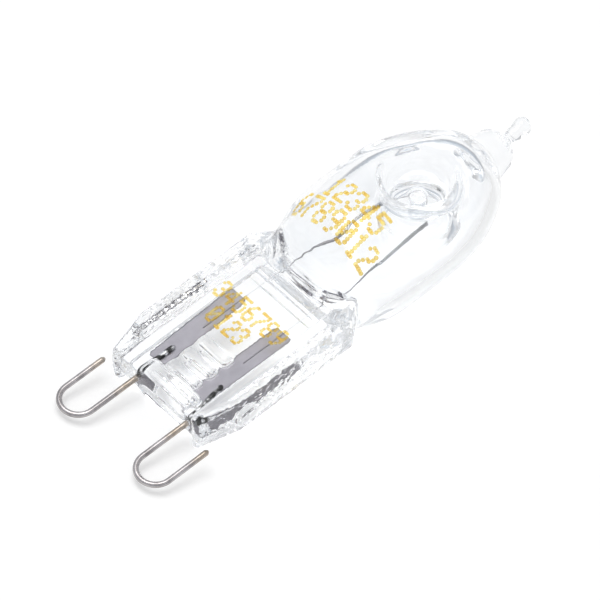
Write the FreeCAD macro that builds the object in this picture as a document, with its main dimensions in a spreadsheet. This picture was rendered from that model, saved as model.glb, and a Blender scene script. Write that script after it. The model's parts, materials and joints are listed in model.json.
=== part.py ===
"""Halogen capsule bulb with a flat pressed seal and two looped wire pins, lying on its side.

The lamp is drawn straight, in its own directions: x runs along it from the pin end of the glass
to the sealed tip, y runs across the flat seal and z through its thickness. The finished pieces are
then tilted together, because the lamp rests on the ends of its rails and on its round belly.
Millimetres throughout.
"""
import FreeCAD, Part
import math
import os
import Sketcher

SIZES = {
    # Round part of the glass, stations measured from the pin end
    "bulb_radius": 6.22,
    "bulb_wall": 1.0,
    "neck_start": 17.6,
    "neck_bend": 7.5,
    "barrel_start": 21.8,
    "barrel_end": 26.6,
    "flank_bend": 13.1,
    "nose_bend": 5.0,
    # Stub left where the exhaust tube was melted off, its lengths measured from the round nose
    "stub_foot_radius": 2.0,
    "stub_shoulder_length": 1.025,
    "stub_shoulder_radius": 1.45,
    "stub_waist_length": 1.925,
    "stub_waist_radius": 0.54,
    "stub_length": 4.625,
    "stub_nib_radius": 0.8,
    "stub_foot_round": 0.7,
    "stub_shoulder_round": 0.45,
    # Dimples pressed into both faces, which meet in a post that carries the filament
    "dimple_at": 28.5,
    "dimple_floor": 1.4,
    "dimple_floor_radius": 2.35,
    "dimple_corner": 0.35,
    "dimple_mouth": 5.2,
    "dimple_lip": 1.9,
    "dimple_glass": 0.7,
    "post_radius": 0.6,
    # Pressed seal
    "seal_half_width": 6.0,
    "web_thickness": 2.3,
    "web_start": 0.25,
    "web_end": 14.8,
    "rail_thickness": 4.1,
    "rail_width": 1.8,
    "rail_round": 0.3,
    "rail_end": 15.6,
    "rail_corner_run": 1.6,
    "rail_corner": 1.3,
    "nose_taper": 3.9,
    "nose_inset": 0.9,
    "nose_round": 0.5,
    "cavity_floor": 16.2,
    "cavity_floor_half_width": 2.8,
    "cavity_floor_radius": 0.4,
    # Raised boss between the pins, on both faces
    "boss_shift": 0.55,
    "pillow_end": 2.0,
    "pillow_gap": 0.95,
    "pillow_thickness": 3.5,
    "pillow_round": 0.5,
    "rib_start": 2.1,
    "rib_length": 1.15,
    "rib_pitch": 1.65,
    "rib_count": 3,
    "rib_inset": 1.05,
    "rib_thickness": 3.2,
    # Round studs on the rails' outer sides, which the lamp holder's springs press on
    "stud_at": 4.2,
    "stud_pitch": 6.7,
    "stud_count": 2,
    "stud_radius": 1.1,
    "stud_height": 0.3,
    "stud_round": 0.2,
    # Looped pins of one bent wire each
    "pin_pitch": 9.0,
    "pin_shift": 0.55,
    "pin_radius": 0.25,
    "pin_bend": 1.55,
    "pin_reach": 5.9,
    "pin_free_end": 0.3,
    "pin_weld_left": 4.3,
    "pin_weld_right": 4.5,
    "pin_flat": 0.1,
    "pin_end_round": 0.08,
    # Sealing foils
    "foil_thickness": 0.04,
    "foil_width": 1.85,
    "foil_start": 2.35,
    "foil_end": 11.5,
    "foil_near_left": 2.4,
    "foil_far_left": 2.75,
    "foil_near_right": 2.38,
    "foil_far_right": 2.5,
    # Inner leads and filament
    "lead_radius": 0.09,
    "lead_flat": 0.04,
    "lead_start": 7.2,
    "lead_crank": 15.0,
    "lead_bend": 6.0,
    "lead_seal_left": 2.5,
    "lead_seal_right": 2.75,
    "filament_start": 21.6,
    "filament_radius": 0.17,
    "filament_half_gap": 2.2,
    "filament_bend_at": 27.7,
    "filament_bend_half": 1.95,
    # Angles in degrees: the dimple wall's lean, and where the shoulder's round sections are split
    "dimple_flare": 24,
    "section_split": 35,
    # Room that a cutting outline leaves outside what it cuts
    "spare": 1.0,
}
# How close two lengths are when they count as equal
NEAR = 1e-6
# Steepest tilt that is tried, and how closely the resting tilt is found, in degrees
STEEPEST_TILT = 30.0
TILT_STEP = 1e-4

doc = FreeCAD.newDocument("capsule_lamp")
sheet = doc.addObject("Spreadsheet::Sheet", "sizes")
for row, (alias, number) in enumerate(SIZES.items(), start=1):
    sheet.set("A%d" % row, alias)
    sheet.set("B%d" % row, str(number))
    sheet.setAlias("B%d" % row, alias)
doc.recompute()


def formula(text):
    """The expression with each size's name pointed at the sheet."""
    words = []
    word = ""
    for letter in text + " ":
        if letter.isalnum() or letter == "_":
            word += letter
            continue
        words.append("sizes." + word if word in SIZES else word)
        words.append(letter)
        word = ""
    return "".join(words).strip()


def worth(text):
    """The number that an expression of the sheet's sizes gives."""
    return float(sheet.evalExpression(formula(text)))


def new_body(name):
    """An empty body, in the lamp's own directions until the lamp is laid down."""
    return doc.addObject("PartDesign::Body", name)


def plane(body, role):
    """One of the body's own origin planes or axes."""
    return [part for part in body.Origin.OriginFeatures if part.Role == role][0]


def new_sketch(body, name, role, shift=("0", "0", "0")):
    """A sketch on an origin plane, moved within and off that plane by expressions."""
    sketch = body.newObject("Sketcher::SketchObject", name)
    sketch.AttachmentSupport = (plane(body, role), [""])
    sketch.MapMode = "FlatFace"
    for axis, text in zip("xyz", shift):
        if text != "0":
            sketch.setExpression("AttachmentOffset.Base." + axis, formula(text))
    doc.recompute()
    return sketch


def hold(sketch, edge, end, place):
    """Ties one end of an edge to a place given by two expressions."""
    for kind, axis_edge, text in (("DistanceX", -2, place[0]), ("DistanceY", -1, place[1])):
        if text == "0":
            sketch.addConstraint(Sketcher.Constraint("PointOnObject", edge, end, axis_edge))
            continue
        number = sketch.addConstraint(Sketcher.Constraint(kind, -1, 1, edge, end, worth(text)))
        sketch.setExpression("Constraints[%d]" % number, formula(text))


def arc_between(start, finish, radius, turn):
    """The shorter arc of a radius between two points, to the left (turn 1) or right (turn -1)."""
    middle = (start + finish) * 0.5
    chord = finish - start
    side = FreeCAD.Vector(-chord.y, chord.x, 0).normalize() * turn
    reach = math.sqrt(max(radius ** 2 - (chord.Length / 2) ** 2, 0.0))
    centre = middle + side * reach
    first, last = (start, finish) if turn > 0 else (finish, start)
    angles = [math.atan2(point.y - centre.y, point.x - centre.x) for point in (first, last)]
    if angles[1] < angles[0]:
        angles[1] += 2 * math.pi
    circle = Part.Circle(centre, FreeCAD.Vector(0, 0, 1), radius)
    return Part.ArcOfCircle(circle, angles[0], angles[1])


def draw(sketch, corners, closed=True):
    """Draws lines and arcs from corner to corner.

    A corner is (x, y), or (x, y, radius, turn) where the edge that leaves it is an arc. All but
    the turn are expressions, and the turn is 1 for an arc that bends to the left.
    """
    points = [FreeCAD.Vector(worth(corner[0]), worth(corner[1]), 0) for corner in corners]
    ends = []
    for index in range(len(corners) if closed else len(corners) - 1):
        start = points[index]
        finish = points[(index + 1) % len(corners)]
        if len(corners[index]) == 2:
            edge = sketch.addGeometry(Part.LineSegment(start, finish), False)
            ends.append((edge, 1, 2))
            continue
        radius, turn = corners[index][2:]
        edge = sketch.addGeometry(arc_between(start, finish, worth(radius), turn), False)
        number = sketch.addConstraint(Sketcher.Constraint("Radius", edge, worth(radius)))
        sketch.setExpression("Constraints[%d]" % number, formula(radius))
        ends.append((edge, 1, 2) if turn > 0 else (edge, 2, 1))
    for index, (edge, start_end, finish_end) in enumerate(ends):
        hold(sketch, edge, start_end, corners[index])
        if closed or index + 1 < len(ends):
            following = ends[(index + 1) % len(ends)]
            sketch.addConstraint(
                Sketcher.Constraint("Coincident", edge, finish_end, following[0], following[1]))
        else:
            hold(sketch, edge, finish_end, corners[-1])
    doc.recompute()
    return sketch


def circle(sketch, radius, place=("0", "0")):
    """One full circle, its centre and radius given by expressions."""
    centre = FreeCAD.Vector(worth(place[0]), worth(place[1]), 0)
    edge = sketch.addGeometry(Part.Circle(centre, FreeCAD.Vector(0, 0, 1), worth(radius)), False)
    hold(sketch, edge, 3, place)
    number = sketch.addConstraint(Sketcher.Constraint("Radius", edge, worth(radius)))
    sketch.setExpression("Constraints[%d]" % number, formula(radius))
    doc.recompute()
    return sketch


def turn_solid(body, kind, name, sketch, axis):
    """A full turn of a sketch about its own horizontal or vertical axis."""
    feature = body.newObject("PartDesign::" + kind, name)
    feature.Profile = sketch
    feature.ReferenceAxis = (sketch, [axis])
    feature.Angle = 360
    doc.recompute()
    return feature


def slab(body, kind, name, sketch, length):
    """A pad or pocket that reaches as far to both sides of its sketch."""
    feature = body.newObject("PartDesign::" + kind, name)
    feature.Profile = sketch
    feature.SideType = "Symmetric"
    feature.setExpression("Length", formula(length))
    doc.recompute()
    return feature


def mirrored(body, name, features, role):
    """Repeats features on the other side of one of the body's origin planes."""
    feature = body.newObject("PartDesign::Mirrored", name)
    feature.Originals = features
    feature.MirrorPlane = (plane(body, role), [""])
    body.Tip = feature
    doc.recompute()
    return feature


def in_line(body, name, features, pitch, count):
    """Repeats features along x."""
    feature = body.newObject("PartDesign::LinearPattern", name)
    feature.Originals = features
    feature.Direction = (plane(body, "X_Axis"), [""])
    feature.setExpression("Length", formula("%s * (%s - 1)" % (pitch, count)))
    feature.setExpression("Occurrences", formula(count))
    body.Tip = feature
    doc.recompute()
    return feature


def rounded(body, name, base, radius, wanted):
    """Fillets those edges of a feature that the test picks out."""
    edges = ["Edge%d" % (index + 1) for index, edge in enumerate(base.Shape.Edges) if wanted(edge)]
    feature = body.newObject("PartDesign::Fillet", name)
    feature.Base = (base, edges)
    feature.setExpression("Radius", formula(radius))
    doc.recompute()
    return feature


# Centre of the nose arc, which runs smoothly out of the flank arc
NOSE_CENTRE = "(barrel_end + sqrt((flank_bend - nose_bend)^2 - (flank_bend - bulb_radius)^2))"
NOSE_TIP = "(%s + nose_bend)" % NOSE_CENTRE


def shell_outline(inset):
    """Half outline of the round glass from the neck to the apex, set in by a depth."""
    share = "((flank_bend - %s) / (flank_bend - nose_bend))" % inset
    return [
        ("neck_start", "bulb_radius - neck_bend + sqrt((neck_bend - %s)^2"
         " - (barrel_start - neck_start)^2)" % inset, "neck_bend - %s" % inset, -1),
        ("barrel_start", "bulb_radius - %s" % inset),
        ("barrel_end", "bulb_radius - %s" % inset, "flank_bend - %s" % inset, -1),
        ("barrel_end + (%s - barrel_end) * %s" % (NOSE_CENTRE, share),
         "bulb_radius - flank_bend + (flank_bend - bulb_radius) * %s" % share,
         "nose_bend - %s" % inset, -1),
    ]


def dimple_outline(depth):
    """A dimple's floor, round corner and leaning wall, set into the glass by a depth."""
    corner = "(dimple_corner + %s)" % depth
    foot_radius = "(dimple_floor_radius + %s * cos(dimple_flare))" % corner
    foot = "(dimple_floor + dimple_corner - %s * sin(dimple_flare))" % corner
    wall_end = "(dimple_mouth - %s * sin(dimple_flare))" % depth
    wall_end_radius = "(%s + (%s - %s) * tan(dimple_flare))" % (foot_radius, wall_end, foot)
    return [
        ("dimple_floor_radius", "dimple_floor - " + depth, corner, 1),
        (foot_radius, foot),
        (wall_end_radius, wall_end),
    ]


def make_bulb():
    """The blown bulb with the melted stub at its end, solid, with both dimples pressed in."""
    body = new_body("bulb_form")
    profile = new_sketch(body, "bulb_profile", "XZ_Plane")
    outline = [("neck_start", "0")] + shell_outline("0")
    outline += [
        ("%s + sqrt(nose_bend^2 - stub_foot_radius^2)" % NOSE_CENTRE, "stub_foot_radius"),
        (NOSE_TIP + " + stub_shoulder_length", "stub_shoulder_radius"),
        (NOSE_TIP + " + stub_waist_length", "stub_waist_radius"),
        (NOSE_TIP + " + stub_length - stub_nib_radius", "stub_nib_radius", "stub_nib_radius", -1),
        (NOSE_TIP + " + stub_length", "0"),
    ]
    draw(profile, outline)
    bulb = turn_solid(body, "Revolution", "blown_bulb", profile, "H_Axis")

    foot = worth("stub_foot_radius")
    shoulder = worth("stub_shoulder_radius")
    bulb = rounded(body, "stub_foot_fillet", bulb, "stub_foot_round",
                   lambda edge: is_ring(edge, foot))
    rounded(body, "stub_shoulder_fillet", bulb, "stub_shoulder_round",
            lambda edge: is_ring(edge, shoulder))

    pit = new_sketch(body, "dimple_profile", "XZ_Plane", ("dimple_at", "0", "0"))
    floor_edge, wall_foot, mouth = dimple_outline("0")
    lip_end = "(%s + dimple_lip * cos(dimple_flare))" % mouth[0]
    draw(pit, [
        ("0", "dimple_floor"),
        floor_edge,
        wall_foot,
        mouth + ("dimple_lip", -1),
        (lip_end, "dimple_mouth + dimple_lip * (1 - sin(dimple_flare))"),
        (lip_end, "bulb_radius + dimple_lip"),
        ("0", "bulb_radius + dimple_lip"),
    ])
    dimple = turn_solid(body, "Groove", "dimple", pit, "V_Axis")
    mirrored(body, "both_dimples", [dimple], "XY_Plane")
    return body


def is_ring(edge, radius):
    """Whether an edge is a full circle of that radius about the lamp's axis."""
    return abs(edge.Length - 2 * math.pi * radius) < NEAR and abs(edge.CenterOfMass.z) < NEAR


def lies_at(edge, height):
    """Whether an edge lies flat at that height above or below the middle of the seal."""
    heights = [vertex.Z for vertex in edge.Vertexes]
    return max(heights) - min(heights) < NEAR and abs(abs(heights[0]) - height) < NEAR


def flat_oval(body, name, station, half_width, radius):
    """A section across the lamp: a flat oval with two straight sides and two half circles."""
    sketch = new_sketch(body, name, "YZ_Plane", ("0", "0", station))
    straight = "(%s - %s)" % (half_width, radius)
    return draw(sketch, [
        ("-" + straight, "-(%s)" % radius),
        (straight, "-(%s)" % radius, radius, 1),
        (half_width, "0", radius, 1),
        (straight, radius),
        ("-" + straight, radius, radius, 1),
        ("-(%s)" % half_width, "0", radius, 1),
    ])


def round_section(body, name, station, radius, spread):
    """A circular section in six arcs, which pair with the edges of a flat oval."""
    sketch = new_sketch(body, name, "YZ_Plane", ("0", "0", station))
    across = "(%s * cos(%s))" % (radius, spread)
    up = "(%s * sin(%s))" % (radius, spread)
    return draw(sketch, [
        ("-" + across, "-" + up, radius, 1),
        (across, "-" + up, radius, 1),
        (radius, "0", radius, 1),
        (across, up, radius, 1),
        ("-" + across, up, radius, 1),
        ("-" + radius, "0", radius, 1),
    ])


def make_rails(body):
    """The two thick rails of the seal, which narrow towards the pins."""
    outline = new_sketch(body, "rail_outline", "XY_Plane")
    for sign, turn in (("", 1), ("-", -1)):
        draw(outline, [
            ("0", sign + "(seal_half_width - rail_width)"),
            ("rail_end + rail_corner_run", sign + "(seal_half_width - rail_width)"),
            ("rail_end + rail_corner_run", sign + "(seal_half_width - rail_corner)"),
            ("rail_end", sign + "seal_half_width"),
            ("nose_taper", sign + "seal_half_width"),
            ("nose_round", sign + "(seal_half_width - nose_inset)", "nose_round", turn),
            ("0", sign + "(seal_half_width - nose_inset - nose_round)"),
        ])
    rails = slab(body, "Pad", "rails", outline, "rail_thickness")
    rounded(body, "rail_edges", rails, "rail_round",
            lambda edge: lies_at(edge, worth("rail_thickness") / 2))


def make_boss(body):
    """The pillow between the pins and the ribs behind it, raised on both faces."""
    half_width = "(seal_half_width - rail_width - boss_shift - pillow_gap)"
    pillow_outline = draw(new_sketch(body, "pillow_outline", "XY_Plane"), [
        ("web_start", "-(boss_shift + %s)" % half_width),
        ("pillow_end", "-(boss_shift + %s)" % half_width),
        ("pillow_end", "%s - boss_shift" % half_width),
        ("web_start", "%s - boss_shift" % half_width),
    ])
    pillow = slab(body, "Pad", "pillow", pillow_outline, "pillow_thickness")
    rounded(body, "pillow_edges", pillow, "pillow_round",
            lambda edge: lies_at(edge, worth("pillow_thickness") / 2))
    rib_section = draw(new_sketch(body, "rib_section", "XZ_Plane", ("0", "0", "boss_shift")), [
        ("rib_start", "-(rib_thickness - rib_length) / 2", "rib_length / 2", 1),
        ("rib_start + rib_length / 2", "-rib_thickness / 2", "rib_length / 2", 1),
        ("rib_start + rib_length", "-(rib_thickness - rib_length) / 2"),
        ("rib_start + rib_length", "(rib_thickness - rib_length) / 2", "rib_length / 2", 1),
        ("rib_start + rib_length / 2", "rib_thickness / 2", "rib_length / 2", 1),
        ("rib_start", "(rib_thickness - rib_length) / 2"),
    ])
    rib = slab(body, "Pad", "rib", rib_section, "2 * (%s - rib_inset)" % half_width)
    in_line(body, "ribs", [rib], "rib_pitch", "rib_count")


def make_studs(body, side, sign, turn):
    """The round studs on one rail's outer side."""
    profile = draw(new_sketch(body, "stud_profile_" + side, "XY_Plane", ("stud_at", "0", "0")), [
        ("0", sign + "(seal_half_width - rail_width / 2)"),
        ("stud_radius", sign + "(seal_half_width - rail_width / 2)"),
        ("stud_radius", sign + "(seal_half_width + stud_height - stud_round)", "stud_round", turn),
        ("stud_radius - stud_round", sign + "(seal_half_width + stud_height)"),
        ("0", sign + "(seal_half_width + stud_height)"),
    ])
    stud = turn_solid(body, "Revolution", "stud_" + side, profile, "V_Axis")
    in_line(body, "studs_" + side, [stud], "stud_pitch", "stud_count")


def make_seal():
    """The pressed seal: web, rails with tapered noses, boss with ribs, and side studs."""
    body = new_body("seal_form")
    web = draw(new_sketch(body, "web_outline", "XY_Plane"), [
        ("web_start", "-(seal_half_width - rail_width / 2)"),
        ("web_end", "-(seal_half_width - rail_width / 2)"),
        ("web_end", "seal_half_width - rail_width / 2"),
        ("web_start", "seal_half_width - rail_width / 2"),
    ])
    slab(body, "Pad", "web", web, "web_thickness")
    make_rails(body)
    make_boss(body)
    make_studs(body, "left", "", 1)
    make_studs(body, "right", "-", -1)
    return body


def make_shoulder(body, label, wall, floor, half_width, radius):
    """The form between the round neck and the flat seal."""
    flat = flat_oval(body, label + "_flat", floor, half_width, radius)
    neck = round_section(body, label + "_neck", "neck_start",
                         "(%s)" % shell_outline(wall)[0][1], "section_split")
    loft = body.newObject("PartDesign::AdditiveLoft", label)
    loft.Profile = flat
    loft.Sections = [neck]
    doc.recompute()


def make_hollow():
    """The sealed hollow: round inside the bulb, flat at its floor, clear of dimples and post."""
    body = new_body("hollow_form")
    profile = new_sketch(body, "hollow_profile", "XZ_Plane")
    draw(profile, [("neck_start", "0")] + shell_outline("bulb_wall")
         + [(NOSE_TIP + " - bulb_wall", "0")])
    turn_solid(body, "Revolution", "round_hollow", profile, "H_Axis")
    make_shoulder(body, "hollow_shoulder", "bulb_wall", "cavity_floor", "cavity_floor_half_width",
                  "cavity_floor_radius")
    cup = new_sketch(body, "cup_profile", "XZ_Plane", ("dimple_at", "0", "0"))
    floor_edge, wall_foot, wall_end = dimple_outline("dimple_glass")
    draw(cup, [
        ("0", "0"),
        ("post_radius", "0"),
        ("post_radius", "dimple_floor - dimple_glass"),
        floor_edge,
        wall_foot,
        wall_end,
        (wall_end[0], "bulb_radius"),
        ("0", "bulb_radius"),
    ])
    groove = turn_solid(body, "Groove", "cup_and_post", cup, "V_Axis")
    mirrored(body, "both_cups", [groove], "XY_Plane")
    return body


def sweep(body, name, profile, path):
    """A round wire: a section carried along a path."""
    feature = body.newObject("PartDesign::AdditivePipe", name)
    feature.Profile = profile
    feature.Spine = path
    doc.recompute()
    return feature


def block(body, name, low, high):
    """A rectangle on the plane of x and z, from a low corner to a high one."""
    return draw(new_sketch(body, name, "XZ_Plane"),
                [low, (high[0], low[1]), high, (low[0], high[1])])


# Height of the foils' upper face, where the wires are flattened onto it
WELD_LEVEL = "-(pin_radius - pin_flat)"
LEAD_LEVEL = "(lead_radius - lead_flat - pin_radius + pin_flat)"


def make_pin(side, centre, towards_middle, turn):
    """One looped pin: in at the seal, round the bend and back to a free end beside the glass."""
    body = new_body("contact_loop_" + side)
    inner = "%s %s pin_bend" % (centre, towards_middle)
    outer = "%s %s pin_bend" % (centre, "+" if towards_middle == "-" else "-")
    section = circle(new_sketch(body, "wire_" + side, "YZ_Plane", ("0", "0", "pin_weld_" + side)),
                     "pin_radius", (inner, "0"))
    path = draw(new_sketch(body, "loop_" + side, "XY_Plane"), [
        ("pin_weld_" + side, inner),
        ("pin_bend - pin_reach", inner, "pin_bend", turn),
        ("-pin_reach", centre, "pin_bend", turn),
        ("pin_bend - pin_reach", outer),
        ("-pin_free_end", outer),
    ], closed=False)
    wire = sweep(body, "bent_wire_" + side, section, path)
    free_end = worth("-pin_free_end")
    rounded(body, "blunt_end_" + side, wire, "pin_end_round",
            lambda edge: all(abs(vertex.X - free_end) < NEAR for vertex in edge.Vertexes)
            and abs(edge.Length - 2 * math.pi * worth("pin_radius")) < NEAR)
    flat = block(body, "weld_flat_" + side, ("foil_start", "-(pin_radius + spare)"),
                 ("pin_weld_%s + spare" % side, WELD_LEVEL))
    slab(body, "Pocket", "weld_land_" + side, flat, "2 * pin_pitch")
    return body


def make_foil(side, sign):
    """One thin sealing foil, pressed into the seal between a pin and an inner lead."""
    body = new_body("foil_" + side)
    near = "foil_near_" + side
    far = "foil_far_" + side
    outline = new_sketch(body, "foil_outline_" + side, "XY_Plane",
                         ("0", "0", WELD_LEVEL + " - foil_thickness / 2"))
    draw(outline, [
        ("foil_start", "%s(%s - foil_width / 2)" % (sign, near)),
        ("foil_end", "%s(%s - foil_width / 2)" % (sign, far)),
        ("foil_end", "%s(%s + foil_width / 2)" % (sign, far)),
        ("foil_start", "%s(%s + foil_width / 2)" % (sign, near)),
    ])
    slab(body, "Pad", "foil_strip_" + side, outline, "foil_thickness")
    return body


def make_lead(side, sign, turn):
    """One inner lead, from its weld on the foil to the filament's end."""
    body = new_body("inner_lead_" + side)
    top = sign + "filament_half_gap"
    seal = "%slead_seal_%s" % (sign, side)
    section = circle(new_sketch(body, "lead_section_" + side, "YZ_Plane",
                                ("0", "0", "filament_start")), "lead_radius", (top, LEAD_LEVEL))
    lean = "atan((lead_seal_%s - filament_half_gap) / (filament_start - lead_crank))" % side
    reach = "lead_bend * tan(%s / 2)" % lean
    path = draw(new_sketch(body, "lead_path_" + side, "XY_Plane", ("0", "0", LEAD_LEVEL)), [
        ("filament_start", top),
        ("lead_crank + %s * cos(%s)" % (reach, lean),
         "%s(lead_seal_%s - %s * sin(%s))" % (sign, side, reach, lean), "lead_bend", turn),
        ("lead_crank - " + reach, seal),
        ("lead_start", seal),
    ], closed=False)
    sweep(body, "lead_wire_" + side, section, path)
    flat = block(body, "lead_flat_" + side, ("lead_start - spare", "-(2 * lead_radius + spare)"),
                 ("foil_end", WELD_LEVEL))
    slab(body, "Pocket", "lead_land_" + side, flat, "2 * seal_half_width")
    return body


def make_filament():
    """The filament's outer form: two legs and a bend that passes round the post."""
    body = new_body("filament")
    lean = "atan((filament_half_gap - filament_bend_half) / (filament_bend_at - filament_start))"
    bend = "(filament_bend_half / cos(%s))" % lean
    apex = "filament_bend_at - %s * sin(%s) + %s" % (bend, lean, bend)
    section = circle(new_sketch(body, "filament_section", "XZ_Plane"), "filament_radius",
                     (apex, LEAD_LEVEL))
    path = draw(new_sketch(body, "filament_path", "XY_Plane", ("0", "0", LEAD_LEVEL)), [
        (apex, "0", bend, 1),
        ("filament_bend_at", "filament_bend_half"),
        ("filament_start - spare", "filament_half_gap + spare * tan(%s)" % lean),
    ], closed=False)
    leg = sweep(body, "filament_leg", section, path)
    end = block(body, "filament_end", ("filament_start - 2 * spare", "-spare"),
                ("filament_start", "spare"))
    trim = slab(body, "Pocket", "filament_trim", end, "2 * seal_half_width")
    mirrored(body, "filament_legs", [leg, trim], "XZ_Plane")
    return body


def lowest(shape, tilt):
    """The lowest point of a shape once the lamp is tilted by an angle in degrees."""
    turned = shape.copy()
    turned.Placement = FreeCAD.Placement(
        FreeCAD.Vector(), FreeCAD.Rotation(FreeCAD.Vector(0, 1, 0), -tilt))
    return turned.optimalBoundingBox(False, False).ZMin


def resting_tilt(bulb, seal):
    """The tilt at which the seal's rails and the bulb's belly are equally low, by halving."""
    low, high = 0.0, STEEPEST_TILT
    while high - low > TILT_STEP:
        middle = (low + high) / 2
        if lowest(bulb, middle) < lowest(seal, middle):
            low = middle
        else:
            high = middle
    return low


def lie_down(pieces, bulb, seal):
    """Gives all pieces the one placement in which the lamp lies on z = 0."""
    turn = FreeCAD.Rotation(FreeCAD.Vector(0, 1, 0), -resting_tilt(bulb.Shape, seal.Shape))
    for piece in pieces:
        piece.Placement = FreeCAD.Placement(FreeCAD.Vector(), turn)
    whole = Part.makeCompound([piece.Shape for piece in pieces]).optimalBoundingBox(False, False)
    shift = FreeCAD.Vector(-whole.Center.x, -whole.Center.y, -whole.ZMin)
    for piece in pieces:
        piece.Placement = FreeCAD.Placement(shift, turn)
    doc.recompute()


def joined(name, shapes):
    """One form out of several that touch or overlap."""
    fuse = doc.addObject("Part::MultiFuse", name)
    fuse.Shapes = shapes
    return fuse


def less(name, base, tool):
    """A form with another cut out of it."""
    cut = doc.addObject("Part::Cut", name)
    cut.Base = base
    cut.Tool = tool
    return cut


def make_envelope(forms, hollow, sealed):
    """The one-piece glass: all its forms joined, less the hollow and what is sealed in."""
    blown = less("blown_glass", joined("glass_forms", forms), hollow)
    glass = less("glass_envelope", blown, joined("sealed_metal", sealed))
    doc.recompute()
    return glass


def check(objects):
    """Stops the build if anything has failed or any piece has no sound solid."""
    failed = [item.Label for item in doc.Objects if {"Invalid", "Error"} & set(item.State)]
    if failed:
        raise RuntimeError("failed: " + ", ".join(failed))
    for piece in objects:
        if piece.Shape.isNull() or not piece.Shape.isValid() or len(piece.Shape.Solids) != 1:
            raise RuntimeError("not one sound solid: " + piece.Label)


def main():
    """Makes every piece, lays the lamp down and writes one file for each piece."""
    bulb = make_bulb()
    seal = make_seal()
    shoulder = new_body("shoulder_form")
    make_shoulder(shoulder, "shoulder", "0", "web_end", "seal_half_width - rail_round",
                  "web_thickness / 2")
    hollow = make_hollow()
    pins = [
        make_pin("left", "(pin_pitch / 2 - pin_shift)", "-", -1),
        make_pin("right", "-(pin_pitch / 2 + pin_shift)", "+", 1),
    ]
    foils = [make_foil("left", ""), make_foil("right", "-")]
    leads = [make_lead("left", "", 1), make_lead("right", "-", -1)]
    filament = make_filament()
    sealed = pins + foils + leads
    lie_down([bulb, seal, shoulder, hollow, filament] + sealed, bulb, seal)
    glass = make_envelope([bulb, seal, shoulder], hollow, sealed)
    pieces = [glass] + sealed + [filament]
    check(pieces)
    os.makedirs("parts", exist_ok=True)
    for piece in pieces:
        piece.Shape.exportStep("parts/%s.step" % piece.Label)
        print(piece.Label, round(piece.Shape.Volume, 3), piece.Shape.BoundBox)


main()
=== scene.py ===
"""Looks of the halogen capsule bulb: clear fused glass round foils, wires and a coiled filament.

Shapes are worked out in the lamp's own directions, in millimetres: x runs along the lamp from the
pin end of the glass to the sealed tip, y across the flat seal and z through its thickness. The
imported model's mount says where that frame lies.
"""

import json
import math

import bpy
import numpy as np
import openvdb
from mathutils import Matrix, Vector


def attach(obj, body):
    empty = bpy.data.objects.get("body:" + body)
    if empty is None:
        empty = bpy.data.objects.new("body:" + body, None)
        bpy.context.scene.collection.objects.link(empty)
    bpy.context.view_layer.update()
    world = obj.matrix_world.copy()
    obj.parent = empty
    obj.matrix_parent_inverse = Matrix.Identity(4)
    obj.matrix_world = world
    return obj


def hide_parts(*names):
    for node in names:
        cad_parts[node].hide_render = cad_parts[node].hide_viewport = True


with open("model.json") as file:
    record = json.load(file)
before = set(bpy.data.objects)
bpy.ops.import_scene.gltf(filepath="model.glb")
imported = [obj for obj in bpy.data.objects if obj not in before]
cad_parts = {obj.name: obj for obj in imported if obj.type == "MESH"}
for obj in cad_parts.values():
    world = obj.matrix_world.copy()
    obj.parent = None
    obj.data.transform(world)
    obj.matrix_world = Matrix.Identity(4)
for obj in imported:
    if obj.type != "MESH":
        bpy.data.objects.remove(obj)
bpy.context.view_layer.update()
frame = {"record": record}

MM = 0.001

# Round glass
BULB_RADIUS = 6.22
BULB_WALL = 1.0
NECK_START = 17.6
NECK_BEND = 7.5
NECK_EASE = 0.8
NECK_BLEND = 1.0
NECK_ROOT_ROOM = 0.1
BARREL_START = 22.5
BARREL_END = 26.6
FLANK_BEND = 13.1
NOSE_BEND = 5.0
NOSE_SHIFT_FROM = 27.0
NOSE_SHIFT_TO = 33.0
NOSE_SHORT = 0.42
NOSE_LEAN = 0.28
NOSE_CENTRE = BARREL_END + math.sqrt((FLANK_BEND - NOSE_BEND) ** 2
                                     - (FLANK_BEND - BULB_RADIUS) ** 2)

# Melted stub
STUB_FOOT_RADIUS = 2.3
STUB_SHOULDER_AT = 37.75
STUB_SHOULDER_RADIUS = 1.65
STUB_WAIST_AT = 38.6
STUB_WAIST_RADIUS = 0.5
STUB_END = 40.92
STUB_NIB_RADIUS = 0.8
STUB_LEAN_ACROSS = 0.14
STUB_LEAN_UP = 0.25
STUB_WAVE = 0.07
STUB_WAVE_RUN = 1.5
STUB_WAVE_STRETCH = 2
STUB_EASE = 0.12
STUB_SHOULDER_RUN = 0.45
STUB_WAIST_RUN = 0.25
STUB_WAIST_LENGTH = 0.35
STUB_WAIST_GROWTH = 0.02
STUB_NIB_START = 115

# Dimples and the post between them
DIMPLE_AT = 28.3
DIMPLE_FLOOR = 1.4
DIMPLE_FLOOR_RADIUS = 1.9
DIMPLE_CORNER = 0.7
DIMPLE_FLARE = math.radians(12)
DIMPLE_THROAT = 3.3
DIMPLE_THROAT_BEND = 0.5
DIMPLE_MOUTH_FLARE = math.radians(50)
DIMPLE_LIP = 2.2
CUP_LIP = 1.7
DIMPLE_GLASS = 0.7
POST_RADIUS = 0.6
POST_FILLET = 0.3

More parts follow.
